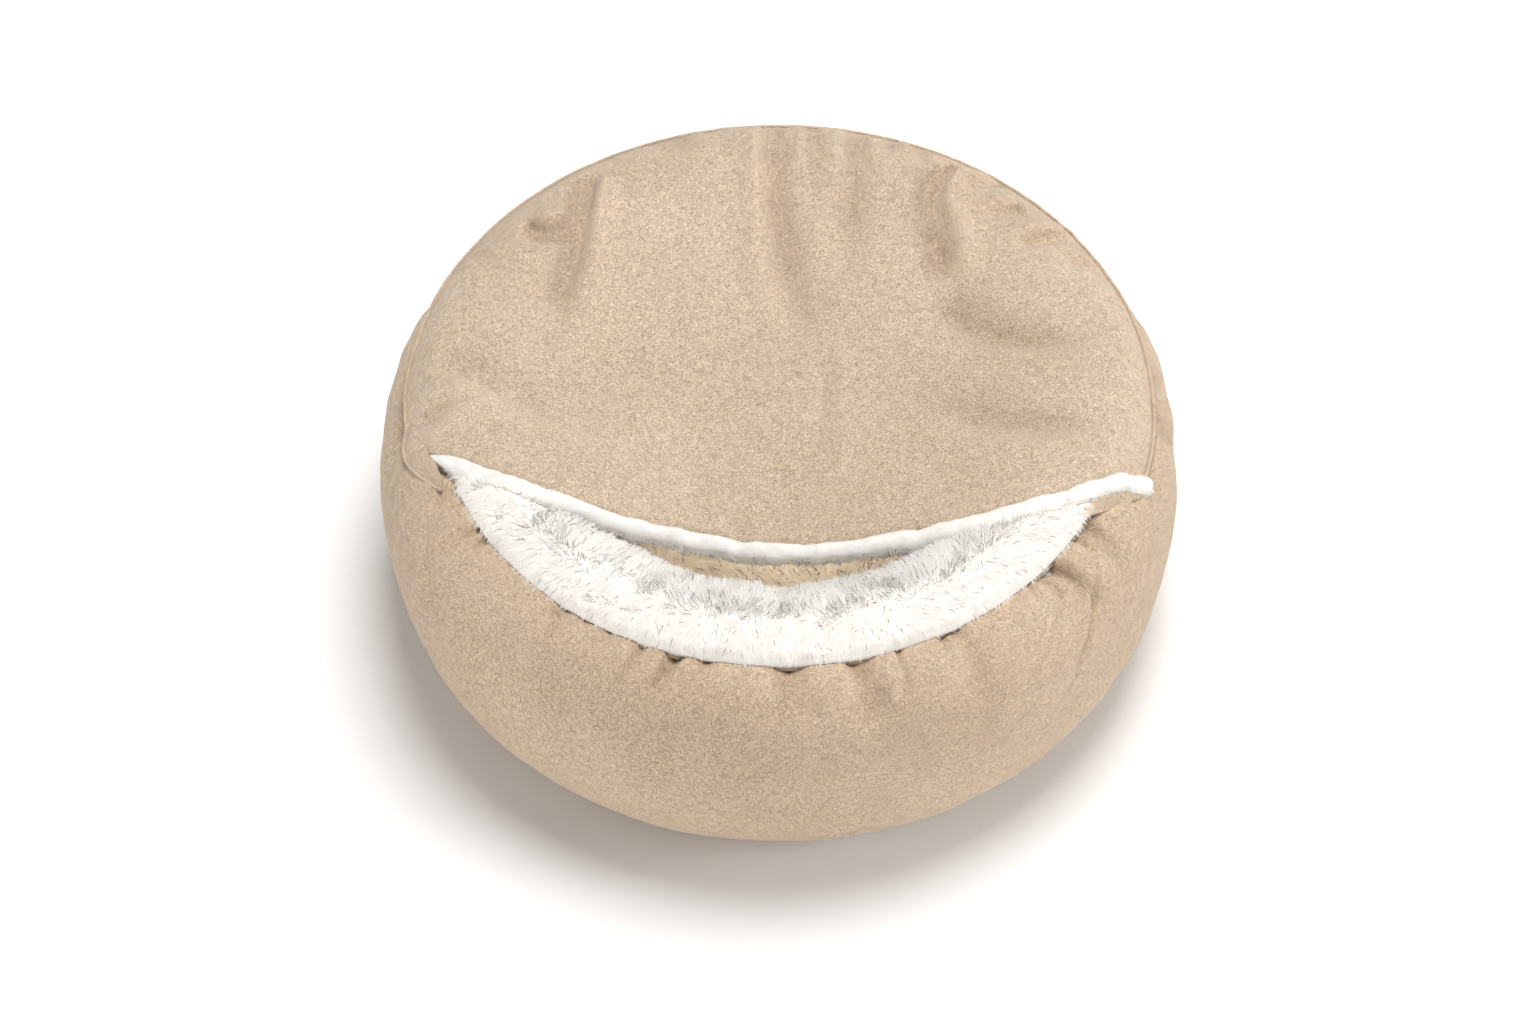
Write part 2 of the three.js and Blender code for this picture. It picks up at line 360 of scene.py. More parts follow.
def bump(tree, height, distance, strength, normal=None):
    made = node(tree, "ShaderNodeBump", Strength=strength, Distance=distance)
    tree.links.new(height, made.inputs["Height"])
    if normal:
        tree.links.new(normal, made.inputs["Normal"])
    return made.outputs["Normal"]


def plush_material(name, light, dark, deep):
    """Short crushed pile: fine crinkled squiggles that show more in some patches and most in the folds, and
    painted shade that darkens the folds.
    """
    material, tree, shader, place = new_material(name)
    # painted shade: the colour darkens with the stored fold depth, standing in for the shade in the fabric's
    # folds
    fold_shade = node(tree, "ShaderNodeAttribute", attribute_name="fold_shade").outputs["Fac"]
    crinkle = noise_texture(tree, place, 500, 1.0, 1.6, 0.5)
    worms = math_node(tree, "ABSOLUTE", math_node(tree, "SUBTRACT", crinkle, 0.5))
    lines = ramp(tree, worms, [(0.0, grey(0)), (0.022, grey(0.45)), (0.052, grey(1))])
    patches = noise_texture(tree, place, 24, 3.0, 0.6, 0.6)
    shown = ramp(tree, patches, [(0.33, grey(0.42)), (0.62, grey(0.82))])
    # the crinkles show most where the painted fold shade is
    shown = math_node(tree, "MAXIMUM", shown, fold_shade)
    fine = noise_texture(tree, place, 1100, 2.0, 0.3)
    broad = noise_texture(tree, place, 9, 2.0)
    tone = mix_color(tree, ramp(tree, broad, [(0.3, grey(0)), (0.7, grey(1))]), dark, light)
    depth = math_node(tree, "MULTIPLY", math_node(tree, "SUBTRACT", 1.0, lines), shown)
    in_lines = math_node(tree, "MULTIPLY", depth, 0.85)
    # painted shade in the folds, added to the crinkles' own darkening
    fold_shade_share = math_node(tree, "MULTIPLY", fold_shade, 0.38)
    shade = math_node(tree, "ADD", in_lines, fold_shade_share)
    # deep is the colour of both the crinkles and the painted fold shade
    colour = mix_color(tree, shade, tone, deep)
    grain = ramp(tree, fine, [(0.25, grey(0.88)), (0.75, grey(1))])
    colour = mix_color(tree, 1.0, colour, grain, "MULTIPLY")
    tree.links.new(colour, shader.inputs["Base Color"])
    normal = bump(tree, fine, 0.0006, 0.6)
    normal = bump(tree, lines, 0.0020, 0.7, normal)
    tree.links.new(normal, shader.inputs["Normal"])
    set_inputs(shader, {
        "Roughness": 0.95, "Specular IOR Level": 0.15,
        "Sheen Weight": 0.35, "Sheen Roughness": 0.45, "Sheen Tint": (1.0, 0.93, 0.85, 1),
    })
    return material


def fur_material(name, light, shade, scale=110):
    material, tree, shader, place = new_material(name)
    clumps = noise_texture(tree, place, scale, 3.0, 0.8, 0.6)
    colour = ramp(tree, clumps, [(0.30, (*shade, 1)), (0.62, (*light, 1))])
    tree.links.new(colour, shader.inputs["Base Color"])
    hairs = noise_texture(tree, place, 900, 3.0, 1.2)
    tree.links.new(bump(tree, hairs, 0.0008, 0.5), shader.inputs["Normal"])
    set_inputs(shader, {
        "Roughness": 0.9, "Specular IOR Level": 0.12, "Sheen Weight": 0.25, "Sheen Roughness": 0.5,
    })
    return material


def let_light_through(material, share, color):
    """Mixes in the light that passes through thin hairs or cloth."""
    tree = material.node_tree
    shader = tree.nodes["Principled BSDF"]
    through = node(tree, "ShaderNodeBsdfTranslucent", Color=color)
    mix = tree.nodes.new("ShaderNodeMixShader")
    mix.inputs[0].default_value = share
    tree.links.new(shader.outputs[0], mix.inputs[1])
    tree.links.new(through.outputs[0], mix.inputs[2])
    tree.links.new(mix.outputs[0], tree.nodes["Material Output"].inputs["Surface"])


def woven_material(name, light, dark, scale=700):
    """Plain woven cloth: two crossed sets of threads."""
    material, tree, shader, place = new_material(name)
    waves = []
    for direction in ("X", "Y"):
        wave = node(tree, "ShaderNodeTexWave", Scale=scale, Distortion=0.6, Detail=1.0)
        wave.bands_direction = direction
        tree.links.new(place, wave.inputs["Vector"])
        waves.append(wave.outputs["Fac"])
    weave = math_node(tree, "MULTIPLY", waves[0], waves[1])
    speckle = noise_texture(tree, place, 60, 3.0)
    colour = mix_color(tree, weave, dark, light)
    grain = ramp(tree, speckle, [(0.3, grey(0.86)), (0.7, grey(1))])
    colour = mix_color(tree, 1.0, colour, grain, "MULTIPLY")
    tree.links.new(colour, shader.inputs["Base Color"])
    tree.links.new(bump(tree, weave, 0.0003, 0.6), shader.inputs["Normal"])
    shader.inputs["Roughness"].default_value = 0.85
    return material


# Two copies of one plush, their colours set apart to make up for how differently the lamps light the hood's
# top and the bolster's sides: the difference between them is painted light.
PLUSH = plush_material(
    "plush", (0.725, 0.553, 0.392, 1), (0.665, 0.498, 0.342, 1), (0.41, 0.280, 0.172, 1)
)
HOOD_PLUSH_PAINTED_LIGHT = plush_material(
    "hood_plush", (0.755, 0.598, 0.443, 1), (0.690, 0.535, 0.385, 1), (0.43, 0.305, 0.195, 1)
)
# One white fur in three copies, the hem's, the skin's and the strands', each with its brightness set for how
# the lamps light that piece: the differences between them are painted light and shade.
HEM_FUR = fur_material("hem_fur", (0.85, 0.825, 0.785), (0.76, 0.73, 0.69))
FUR = fur_material("fur", (0.79, 0.765, 0.725), (0.72, 0.690, 0.645))
FUR_STRANDS = fur_material("fur_strands", (0.725, 0.700, 0.665), (0.665, 0.636, 0.595), 90)
NEST_FUR = fur_material("nest_fur", (0.78, 0.70, 0.595), (0.74, 0.655, 0.545), 50)
BASE_CLOTH = woven_material("base_cloth", (0.60, 0.52, 0.43, 1), (0.42, 0.35, 0.28, 1))
FILLING = fur_material("filling", (0.86, 0.86, 0.84), (0.72, 0.72, 0.70), 60)
SEAM_CORD = woven_material("seam_cord", (0.74, 0.59, 0.44, 1), (0.52, 0.40, 0.28, 1), 1500)

CAD_MATERIALS = {
    "base_fabric": BASE_CLOTH, "bolster_divider_wall": BASE_CLOTH,
    "nest_pad_filling": FILLING, "nest_seam_tape": SEAM_CORD,
}

let_light_through(FUR_STRANDS, 0.15, (0.97, 0.96, 0.945, 1))
let_light_through(NEST_FUR, 0.15, (0.85, 0.74, 0.60, 1))


# ---- bolster cover ----
AROUND = 760
COVER_THICKNESS = 0.003
COVER_FOOT = -section_angle(BASE_RADIUS + 0.005)
MOUTH_ANGLE = section_angle(MOUTH_SEAM_RADIUS)
WALL_FOOT_ANGLE = 202.0
LEFT_CORNER = math.atan2(HEM_POINTS[0][1], HEM_POINTS[0][0]) + 2 * math.pi
RIGHT_CORNER = math.atan2(HEM_POINTS[-1][1], HEM_POINTS[-1][0])


def turn_from(angle, other):
    """The signed angle from other to angle, from -pi to pi."""
    return (angle - other + np.pi) % (2 * np.pi) - np.pi


def puckers(theta, reach, radius, seed, count, depth, width, length, slant=0.25):
    """Gathers that run away from a seam: reach is the distance from the seam, all in metres."""
    random = np.random.default_rng(seed)
    total = np.zeros(np.broadcast(theta, reach).shape)
    for _ in range(count):
        middle = random.uniform(-np.pi, np.pi)
        deep = depth * random.uniform(0.3, 1.0) ** 1.5
        wide = width * random.uniform(0.6, 1.5)
        long = length * random.uniform(0.4, 1.4)
        lean = slant * random.normal()
        spread = wide * (1 + 0.9 * np.clip(reach / long, 0, 2))
        off = turn_from(theta, middle) * radius - lean * reach
        total -= deep * np.exp(-((off / spread) ** 2)) * np.exp(-((reach / long) ** 1.5))
    return total


def make_bolster_cover():
    path, normal = section_path(COVER_FOOT, MOUTH_ANGLE, 124)
    from_foot = distance_along(path)
    from_mouth = from_foot[-1] - from_foot
    theta = np.linspace(0, 2 * np.pi, AROUND, endpoint=False)[:, None]
    grid = sweep_round(path, AROUND)
    move = 0.0022 * grid_noise(grid, 0.075, 11, 2)
    move += 0.0005 * grid_noise(grid, 0.018, 21, 2)
    calm = smoothstep(0, 0.02, from_foot) * smoothstep(0, 0.02, from_mouth)
    move *= 0.35 + 0.65 * calm
    move -= 0.0055 * np.exp(-((from_mouth / 0.007) ** 1.3))
    move -= 0.004 * np.exp(-((from_foot / 0.009) ** 1.3))
    move += 0.0012 * np.exp(-(((from_mouth - 0.018) / 0.012) ** 2))
    move += puckers(theta, from_mouth[None, :], MOUTH_SEAM_RADIUS, 5, 76, 0.0074, 0.0036, 0.032)
    move += puckers(theta, from_mouth[None, :], MOUTH_SEAM_RADIUS, 15, 26, 0.0056, 0.0065, 0.060)
    move += puckers(theta, from_foot[None, :], BASE_RADIUS, 6, 60, 0.003, 0.005, 0.03)
    seam = int(np.argmin(np.abs(path[:, 0] - HOOD_RADIUS) + (path[:, 1] < BOLSTER_MIDDLE)))
    from_hood = from_foot[seam] - from_foot
    sewn = sewn_share(theta)
    below = np.where(from_hood >= 0, from_hood, 10.0)[None, :]
    move -= 0.0042 * sewn * np.exp(-((from_hood / 0.007) ** 2))[None, :]
    move += sewn * puckers(theta, below, HOOD_RADIUS, 8, 80, 0.0030, 0.0045, 0.032, 0.5)
    move += front_creases(theta, path)
    top = path[:, 1] > BOLSTER_MIDDLE
    hidden = sewn * (top * (1 - smoothstep(HOOD_RADIUS - 0.006, HOOD_RADIUS - 0.001, path[:, 0])))[None, :]
    move = move * (1 - hidden) - PRESSED * hidden
    outer = grid + move[:, :, None] * sweep_round(normal, AROUND)
    inner = outer - COVER_THICKNESS * grid_normals(outer, wrap_rows=True)
    cover = closed_band("bolster_cover_plush", outer, inner)
    # painted shade in the cover's gathers, creases and seam dips, and all over where the hood covers it
    mark_fold_shade(cover, move, 0.0065)
    dress(cover, PLUSH, "bed")
    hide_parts("bolster_outer_cover")


def sewn_share(theta):
    """1 where the hood is sewn to the bolster, 0 across the open mouth."""
    middle = (LEFT_CORNER + RIGHT_CORNER) / 2
    half = (LEFT_CORNER - RIGHT_CORNER) / 2
    return 1 - smoothstep(half - 0.04, half + 0.06, np.abs(turn_from(theta, middle)))


# Creases on the front of the cover: azimuth and height at the middle, half length, half width, depth, slope.
FRONT_CREASES = [
    (-82, 0.040, 0.034, 0.0035, 0.0018, 0.02),
    (-60, 0.052, 0.030, 0.0050, 0.0012, 0.20),
    (-118, 0.070, 0.040, 0.0070, 0.0014, -0.15),
    (-39, 0.160, 0.030, 0.0045, 0.0036, 1.10),
    (-45, 0.178, 0.020, 0.0040, 0.0024, 0.70),
    (-152, 0.165, 0.030, 0.0050, 0.0030, -0.90),
]


def front_creases(theta, path):
    total = np.zeros((len(theta), len(path)))
    for azimuth, height, half_length, half_width, depth, slope in FRONT_CREASES:
        along = turn_from(theta, math.radians(azimuth)) * OUTER_RADIUS
        across = (path[None, :, 1] - height) - slope * along
        outside = path[None, :, 0] > RING_RADIUS
        total -= outside * depth * np.exp(-((along / half_length) ** 2) - (across / half_width) ** 2)
    return total


# ---- hood ----
HOOD_LIFT = 0.0090  # the hood's top above the bolster where it lies on it
PRESSED = 0.007  # how far the hood presses the bolster in
HOOD_CENTRE = np.array([0.0, 0.06])
HEM_LINE = spline(HEM_POINTS, 500)
MOUTH_DROOP = 0.0085  # how far the middle of the free edge sags
CREST_INSIDE = 0.152  # radius inside which the hood hangs free of the bolster
HOOD_THICKNESS = 0.0022
LINING_BELOW = 0.0032  # from the hood's top to the top of its lining


def ahead_of_hem(x, y):
    """Distance in front of the hood's free edge, negative under the hood."""
    return np.interp(x, HEM_LINE[:, 0], HEM_LINE[:, 1]) - y


def hood_height(x, y):
    """Height of the hood's upper surface before its folds."""
    radius = np.hypot(x, y)
    lift = HOOD_LIFT * (1 - smoothstep(0.248, HOOD_RADIUS + 0.002, radius))
    edge = bolster_top(HOOD_REST_RADIUS) + HOOD_LIFT
    hanging = HOOD_MIDDLE_TOP + (edge - HOOD_MIDDLE_TOP) * (radius / HOOD_REST_RADIUS) ** 2
    height = np.where(radius > HOOD_REST_RADIUS, bolster_top(radius) + lift, hanging)
    loose = 1 - smoothstep(0.150, HOOD_REST_RADIUS, radius)
    return height - MOUTH_DROOP * loose * np.exp(-((x / 0.150) ** 2) - ((y + 0.135) / 0.055) ** 2)


# Folds of the hood: points in plan, half width (start, end), depth (start, end), ridge, side of the ridge,
# and the share of the length over which each end fades. A negative depth is a raised fold.
FOLDS = [
    ([(-0.005, 0.262), (-0.003, 0.200), (0.004, 0.130), (0.016, 0.065), (0.028, 0.020)],
     (0.0055, 0.0130), (0.0066, 0.0035), 0.55, -1, (0.12, 0.40)),
    ([(0.024, 0.262), (0.027, 0.215), (0.030, 0.150)],
     (0.0035, 0.0070), (0.0030, 0.0020), 0.25, -1, (0.10, 0.50)),
    ([(0.054, 0.258), (0.057, 0.205), (0.052, 0.150), (0.046, 0.085)],
     (0.0050, 0.0120), (0.0065, 0.0035), 0.35, -1, (0.12, 0.50)),
    ([(0.132, 0.212), (0.114, 0.180), (0.114, 0.153), (0.120, 0.125), (0.120, 0.088)],
     (0.0050, 0.0080), (0.0090, 0.0070), 0.75, 1, (0.12, 0.30)),
    ([(0.120, 0.105), (0.140, 0.068), (0.175, 0.045), (0.226, 0.026)],
     (0.0150, 0.0050), (0.0075, 0.0045), 0.20, 1, (0.25, 0.30)),
    ([(0.100, 0.030), (0.140, -0.020), (0.180, -0.040), (0.230, -0.050)],
     (0.0200, 0.0050), (0.0055, 0.0045), 0.25, -1, (0.45, 0.25)),
    ([(-0.138, 0.200), (-0.146, 0.152), (-0.150, 0.124), (-0.161, 0.085), (-0.172, 0.045)],
     (0.0045, 0.0110), (0.0085, 0.0045), 0.60, 1, (0.10, 0.35)),
    ([(-0.188, 0.146), (-0.172, 0.139), (-0.148, 0.146)],
     (0.0055, 0.0070), (0.0080, 0.0080), 0.45, 1, (0.15, 0.20)),
    ([(-0.250, 0.030), (-0.205, -0.008), (-0.150, -0.045)],
     (0.014, 0.014), (0.0040, 0.0030), 0.0, 1, (0.25, 0.4)),
    ([(-0.248, 0.008), (-0.195, -0.036), (-0.110, -0.075), (-0.040, -0.100)],
     (0.010, 0.016), (-0.0035, -0.0020), 0.0, 1, (0.15, 0.4)),
    ([(0.036, 0.066), (0.033, 0.000), (0.028, -0.086)],
     (0.005, 0.006), (0.0016, 0.0014), 0.5, 1, (0.3, 0.3)),
    ([(0.134, 0.187), (0.166, 0.197)], (0.004, 0.005), (0.0030, 0.0040), 0.4, 1, (0.3, 0.05)),
    ([(0.146, 0.158), (0.180, 0.163)], (0.004, 0.006), (0.0025, 0.0030), 0.4, 1, (0.4, 0.1)),
    ([(0.168, 0.128), (0.222, 0.143)], (0.004, 0.006), (0.0045, 0.0050), 0.5, 1, (0.3, 0.02)),
    ([(0.205, 0.113), (0.242, 0.112)], (0.004, 0.005), (0.0030, 0.0040), 0.4, 1, (0.4, 0.02)),
    ([(0.228, 0.080), (0.258, 0.068)], (0.003, 0.005), (0.0020, 0.0030), 0.4, 1, (0.4, 0.02)),
    ([(0.086, 0.246), (0.080, 0.210)], (0.004, 0.008), (0.0035, 0.0020), 0.3, 1, (0.02, 0.6)),
    ([(-0.075, 0.250), (-0.070, 0.205)], (0.004, 0.009), (0.0025, 0.0015), 0.3, 1, (0.02, 0.6)),
    ([(-0.226, 0.130), (-0.196, 0.105)], (0.004, 0.008), (0.0025, 0.0015), 0.3, 1, (0.02, 0.6)),
    ([(0.098, -0.126), (0.092, -0.090)], (0.004, 0.008), (0.0007, 0.0003), 0.3, 1, (0.02, 0.6)),
    ([(-0.030, -0.130), (-0.022, -0.095)], (0.005, 0.009), (0.0015, 0.0010), 0.2, 1, (0.02, 0.6)),
    ([(-0.225, -0.020), (-0.250, -0.035)], (0.005, 0.006), (0.0035, 0.0040), 0.3, 1, (0.4, 0.02)),
    ([(-0.150, -0.020), (-0.100, 0.030), (-0.090, 0.110)],
     (0.022, 0.026), (0.0028, 0.0020), 0.0, 1, (0.5, 0.5)),
]
FOLD_DEPTH = 1.9  # scales every fold's depth
FOLD_WIDTH = 1.45  # and its width


def one_fold(x, y, points, widths, depths, ridge, side, fades):
    path = spline(points, 22)
    nearest = np.full(x.shape, np.inf)
    along = np.zeros(x.shape)
    signed = np.zeros(x.shape)
    for k in range(len(path) - 1):
        (ax, ay), (bx, by) = path[k], path[k + 1]
        dx, dy = bx - ax, by - ay
        length = math.hypot(dx, dy)
        t = np.clip(((x - ax) * dx + (y - ay) * dy) / length**2, 0, 1)
        px, py = x - ax - t * dx, y - ay - t * dy
        distance = np.hypot(px, py)
        closer = distance < nearest
        nearest = np.where(closer, distance, nearest)
        along = np.where(closer, (k + t) / (len(path) - 1), along)
        signed = np.where(closer, np.sign(dx * (y - ay) - dy * (x - ax)) * distance, signed)
    width = FOLD_WIDTH * (widths[0] + (widths[1] - widths[0]) * along)
    depth = depths[0] + (depths[1] - depths[0]) * along
    window = smoothstep(0, fades[0], along) * smoothstep(0, fades[1], 1 - along)
    valley = np.exp(-((nearest / width) ** 2))
    across = side * signed / width
    bank = ridge * np.exp(-((across - 1.25) ** 2) / 0.9)
    return FOLD_DEPTH * depth * window * (bank - valley)


def hood_folds(x, y):
    radius = np.hypot(x, y)
    loose = 1 - 0.6 * smoothstep(0.17, 0.21, radius)
    free = smoothstep(0, 0.012, HOOD_RADIUS - radius)
    total = 0.0030 * loose * plan_noise(x, y, 0.085, 31, 2)
    total += 0.0006 * plan_noise(x, y, 0.022, 41, 2)
    for fold in FOLDS:
        total += one_fold(x, y, *fold)
    theta = np.arctan2(y, x)
    sewn = sewn_share(theta)
    total += sewn * puckers(theta, HOOD_RADIUS - radius, HOOD_RADIUS, 9, 76, 0.0046, 0.0042, 0.032, 0.7)
    return total * (0.45 + 0.55 * free)


def hood_top(x, y):
    """Height of the hood's upper surface, kept softly above the bolster that it lies on."""
    edge = -ahead_of_hem(x, y)
    front = y < np.interp(x, HEM_LINE[:, 0], HEM_LINE[:, 1]) + 0.03
    roll = np.where(front, 0.0035 * np.exp(-((np.maximum(edge, 0) / 0.004) ** 2)), 0)
    height = hood_height(x, y) + hood_folds(x, y) - roll
    radius = np.hypot(x, y)
    floor = bolster_top(radius) + 0.0012
    floor -= 0.020 * (1 - smoothstep(CREST_INSIDE, 0.192, radius))
    floor = np.where(radius > CREST_INSIDE, floor, 0.0)
    sharp = 0.0008 + 0.0030 * (1 - smoothstep(0.165, 0.200, radius))
    return floor + sharp * np.logaddexp((height - floor) / sharp, 0)


def hood_boundary(count, radius, move_back=0.0):
    """The hood's outline in plan, anticlockwise from the left corner along the free edge."""
    hem = HEM_LINE + np.array([0, move_back])
    hem = hem[np.hypot(hem[:, 0], hem[:, 1]) < radius - 0.0015]
    first = math.atan2(hem[-1, 1], hem[-1, 0])
    angle = np.linspace(first, math.atan2(hem[0, 1], hem[0, 0]) + 2 * math.pi, 700)[1:-1]
    rim = np.column_stack([radius * np.cos(angle), radius * np.sin(angle)])
    loop = np.vstack([hem, rim, hem[:1]])
    return evenly(loop, count + 1)[:-1]


def polar_sheet(name, boundary, rings, top, thickness, centre=HOOD_CENTRE):
    """A closed sheet over a star-shaped outline: top(x, y) gives its upper surface."""
    share = (np.arange(rings) + 1) / rings
    plan = centre + (boundary[:, None, :] - centre) * share[None, :, None]
    x, y = plan[:, :, 0], plan[:, :, 1]
    upper = np.dstack([x, y, top(x, y)])
    normal = -grid_normals(upper, wrap_rows=True)
    lower = upper - thickness(x, y)[:, :, None] * normal
    mid = centre[None, :]
    mid_z = float(top(mid[:, 0], mid[:, 1])[0])
    mid_low = mid_z - float(thickness(mid[:, 0], mid[:, 1])[0])
    rows, count = len(boundary), len(boundary) * rings
    i = np.arange(rows)
    after = (i + 1) % rows
    far, far_after = i * rings + rings - 1, after * rings + rings - 1
    hub = np.full(rows, 2 * count)
    faces = [
        grid_faces(rows, rings, wrap_rows=True)[:, ::-1],
        grid_faces(rows, rings, wrap_rows=True, start=count),
        np.stack([far_after, far, count + far, count + far_after], axis=1)[:, ::-1],
        np.stack([hub, i * rings, after * rings], axis=1),
        np.stack([hub + 1, count + after * rings, count + i * rings], axis=1),
    ]
    centre_points = np.array([[*centre, mid_z], [*centre, mid_low]])
    points = np.vstack([upper.reshape(-1, 3), lower.reshape(-1, 3), centre_points])
    return new_mesh(name, points, faces), upper, lower, normal


def bend_with_flap(piece):
    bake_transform(piece)


def make_hood():
    boundary = hood_boundary(780, HOOD_RADIUS)
    shell, upper, _, _ = polar_sheet(
        "hood_plush_sheet", boundary, 104, hood_top, lambda x, y: np.full(x.shape, HOOD_THICKNESS)
    )
    # painted shade in the hood's folds and gathers
    mark_fold_shade(shell, hood_folds(upper[:, :, 0], upper[:, :, 1]), 0.018)
    dress(shell, HOOD_PLUSH_PAINTED_LIGHT, None)
    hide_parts("hood_rear_shell", "hood_flap_shell")
    lining_edge = hood_boundary(560, HOOD_RADIUS - 0.018, 0.004)

    def under_top(x, y):
        return hood_top(x, y) - LINING_BELOW

    def pile(x, y):
        lumps = plan_noise(x, y, 0.012, 51, 2)
        radius = np.hypot(x, y)
        pressed = smoothstep(0.165, 0.195, radius)
        return 0.0040 + (1 - pressed) * (0.0015 + 0.0012 * lumps)

    lining, _, under, up = polar_sheet("hood_fur_sheet", lining_edge, 84, under_top, pile)
    dress(lining, FUR, None)
    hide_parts("hood_rear_lining", "hood_flap_lining")
    return shell, lining, under, up


def tube(name, path, radii, sides, seed, lumps):
    """A closed round-ended tube along an open path, with a radius at each point."""
    tangent = unit(np.gradient(path, axis=0))
    side = unit(np.cross(tangent, [0, 0, 1.0]))
    up = np.cross(side, tangent)
    angle = np.linspace(0, 2 * np.pi, sides, endpoint=False)
    ring = side[:, None, :] * np.cos(angle)[None, :, None] + up[:, None, :] * np.sin(angle)[None, :, None]
    points = path[:, None, :] + ring * radii[:, None, None]
    noise = grid_noise(points, 0.014, seed, 3)
    points += ring * (radii[:, None] * lumps * noise)[:, :, None]
    rows = len(path)
    ends = np.array([path[0], path[-1]])
    j = np.arange(sides)
    after = (j + 1) % sides
    base = (rows - 1) * sides
    faces = [
        grid_faces(rows, sides, wrap_columns=True),
        np.stack([np.full(sides, rows * sides), j, after], axis=1),
        np.stack([np.full(sides, rows * sides + 1), base + after, base + j], axis=1),
    ]
    return new_mesh(name, np.vstack([points.reshape(-1, 3), ends]), faces), points, ring


def rounded_radii(count, radius, length):
    """Radii that round off the two ends of a tube."""
    at = np.linspace(0, length, count)
    edge = np.clip(np.minimum(at, length - at) / radius, 0, 1)
    return radius * np.sqrt(np.maximum(1 - (1 - edge) ** 2, 0.01))


HEM_RADIUS = 0.0070
HEM_OVERRUN = 0.0065  # how far the right end of the hem reaches past the hood


def hem_path(count):
    line = evenly(HEM_LINE, count)
    x, y = line[:, 0], line[:, 1]
    z = hood_top(x, y + 0.001) - 0.0048
    path = np.column_stack([x, y - 0.0022, z])[2:]
    along = path[-1] - path[-12]
    reach = np.linspace(0.1, 1, 6)[:, None] * HEM_OVERRUN
    tail = path[-1] + reach * along / np.linalg.norm(along)
    tail[:, 2] -= 0.002 * np.linspace(0.1, 1, 6) ** 2
    return np.vstack([path, tail])


def make_hem():
    path = hem_path(460)
    length = np.linalg.norm(np.diff(path, axis=0), axis=1).sum()
    radii = rounded_radii(len(path), HEM_RADIUS, length)
    radii *= 0.45 + 0.55 * smoothstep(0, 0.045, np.linspace(0, length, len(path)))
    hem, points, ring = tube("hood_hem_fur", path, radii, 26, 61, 0.16)
    dress(hem, HEM_FUR, None)
    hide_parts("hood_hem_roll", "hood_hem_end_left", "hood_hem_end_right")
    return hem, points, ring


# The hood's corners: a small gathered gusset under each end of the hem. Each has its outer seam and its
# inner edge in plan, and the point its gathers fan out from.
GUSSETS = {
    "left": (
        [(-0.2640, -0.030), (-0.2655, -0.044), (-0.2622, -0.058),
         (-0.2545, -0.0715), (-0.2450, -0.0830), (-0.2350, -0.0925)],
        [(-0.2345, -0.0880), (-0.2395, -0.0745), (-0.2450, -0.0630), (-0.2500, -0.0500), (-0.2560, -0.036)],
        (-0.2480, -0.056),
    ),
    "right": (
        [(0.2110, -0.1185), (0.2260, -0.1105), (0.2400, -0.1000), (0.2510, -0.0905), (0.2600, -0.0780)],
        [(0.2560, -0.0700), (0.2440, -0.0780), (0.2290, -0.0880), (0.2180, -0.0960), (0.2110, -0.1080)],
        (0.2540, -0.078),
    ),
}
GUSSET_RISE = {"left": 0.0046, "right": 0.0012}
GUSSET_SHADE = {"left": -0.0035, "right": -0.006}  # painted shade under the hem, spread over each whole gusset and given as a depth below the hood
GUSSET_RINGS = 22


def gusset_top(side, x, y):
    seam, _, fan = GUSSETS[side]
    line = spline(seam, 60)
    away = np.full(x.shape, np.inf)
    for px, py in line:
        away = np.minimum(away, np.hypot(x - px, y - py))
    turn = np.arctan2(y - fan[1], x - fan[0])
    reach = np.hypot(x - fan[0], y - fan[1])
    gathers = 0.0016 * np.sin(5.5 * turn + 14 * np.sqrt(reach)) * smoothstep(0.006, 0.020, reach)
    rise = GUSSET_RISE[side] * (0.35 + 0.65 * smoothstep(0, 0.006, away))
    return bolster_top(np.hypot(x, y)) + rise + gathers * smoothstep(0, 0.004, away)


def make_gussets():
    for side, (seam, inner, _) in GUSSETS.items():
        loop = np.vstack([spline(seam, 80), spline(inner, 80)])
        outline = evenly(np.vstack([loop, loop[:1]]), 161)[:-1]
        centre = outline.mean(axis=0)
        piece, _, _, _ = polar_sheet(
            "hood_corner_" + side, outline, GUSSET_RINGS, lambda x, y: gusset_top(side, x, y),
            lambda x, y: np.full(x.shape, 0.0020), centre,
        )
        # painted shade: each gusset is darkened all over, standing in for the shade under the end of the hem
        mark_fold_shade(piece, np.full(len(outline) * GUSSET_RINGS, GUSSET_SHADE[side]), 0.009)
        dress(piece, HOOD_PLUSH_PAINTED_LIGHT, "bed")


def make_hood_ridge():
    angle = np.linspace(RIGHT_CORNER + 0.005, LEFT_CORNER - 0.13, 700)
    level = np.zeros(len(angle))
    wander = lattice_noise(np.column_stack([angle * 9, level, level]), 71)
    radius = HOOD_RADIUS + 0.0006 + 0.0008 * wander
    x, y = radius * np.cos(angle), radius * np.sin(angle)
    inward = radius - 0.002
    z = hood_top(inward * np.cos(angle), inward * np.sin(angle)) - 0.0009
    path = np.column_stack([x, y, z])
    corner = spline(GUSSETS["left"][0], 60)
    corner = np.column_stack([corner, gusset_top("left", corner[:, 0], corner[:, 1]) - 0.0002])
    path = evenly(np.vstack([path, corner]), 820)
    ridge, _, _ = tube("hood_seam_ridge", path, np.full(len(path), 0.0013), 10, 72, 0.12)
    dress(ridge, HOOD_PLUSH_PAINTED_LIGHT, "bed")
    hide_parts("hood_seam_piping")


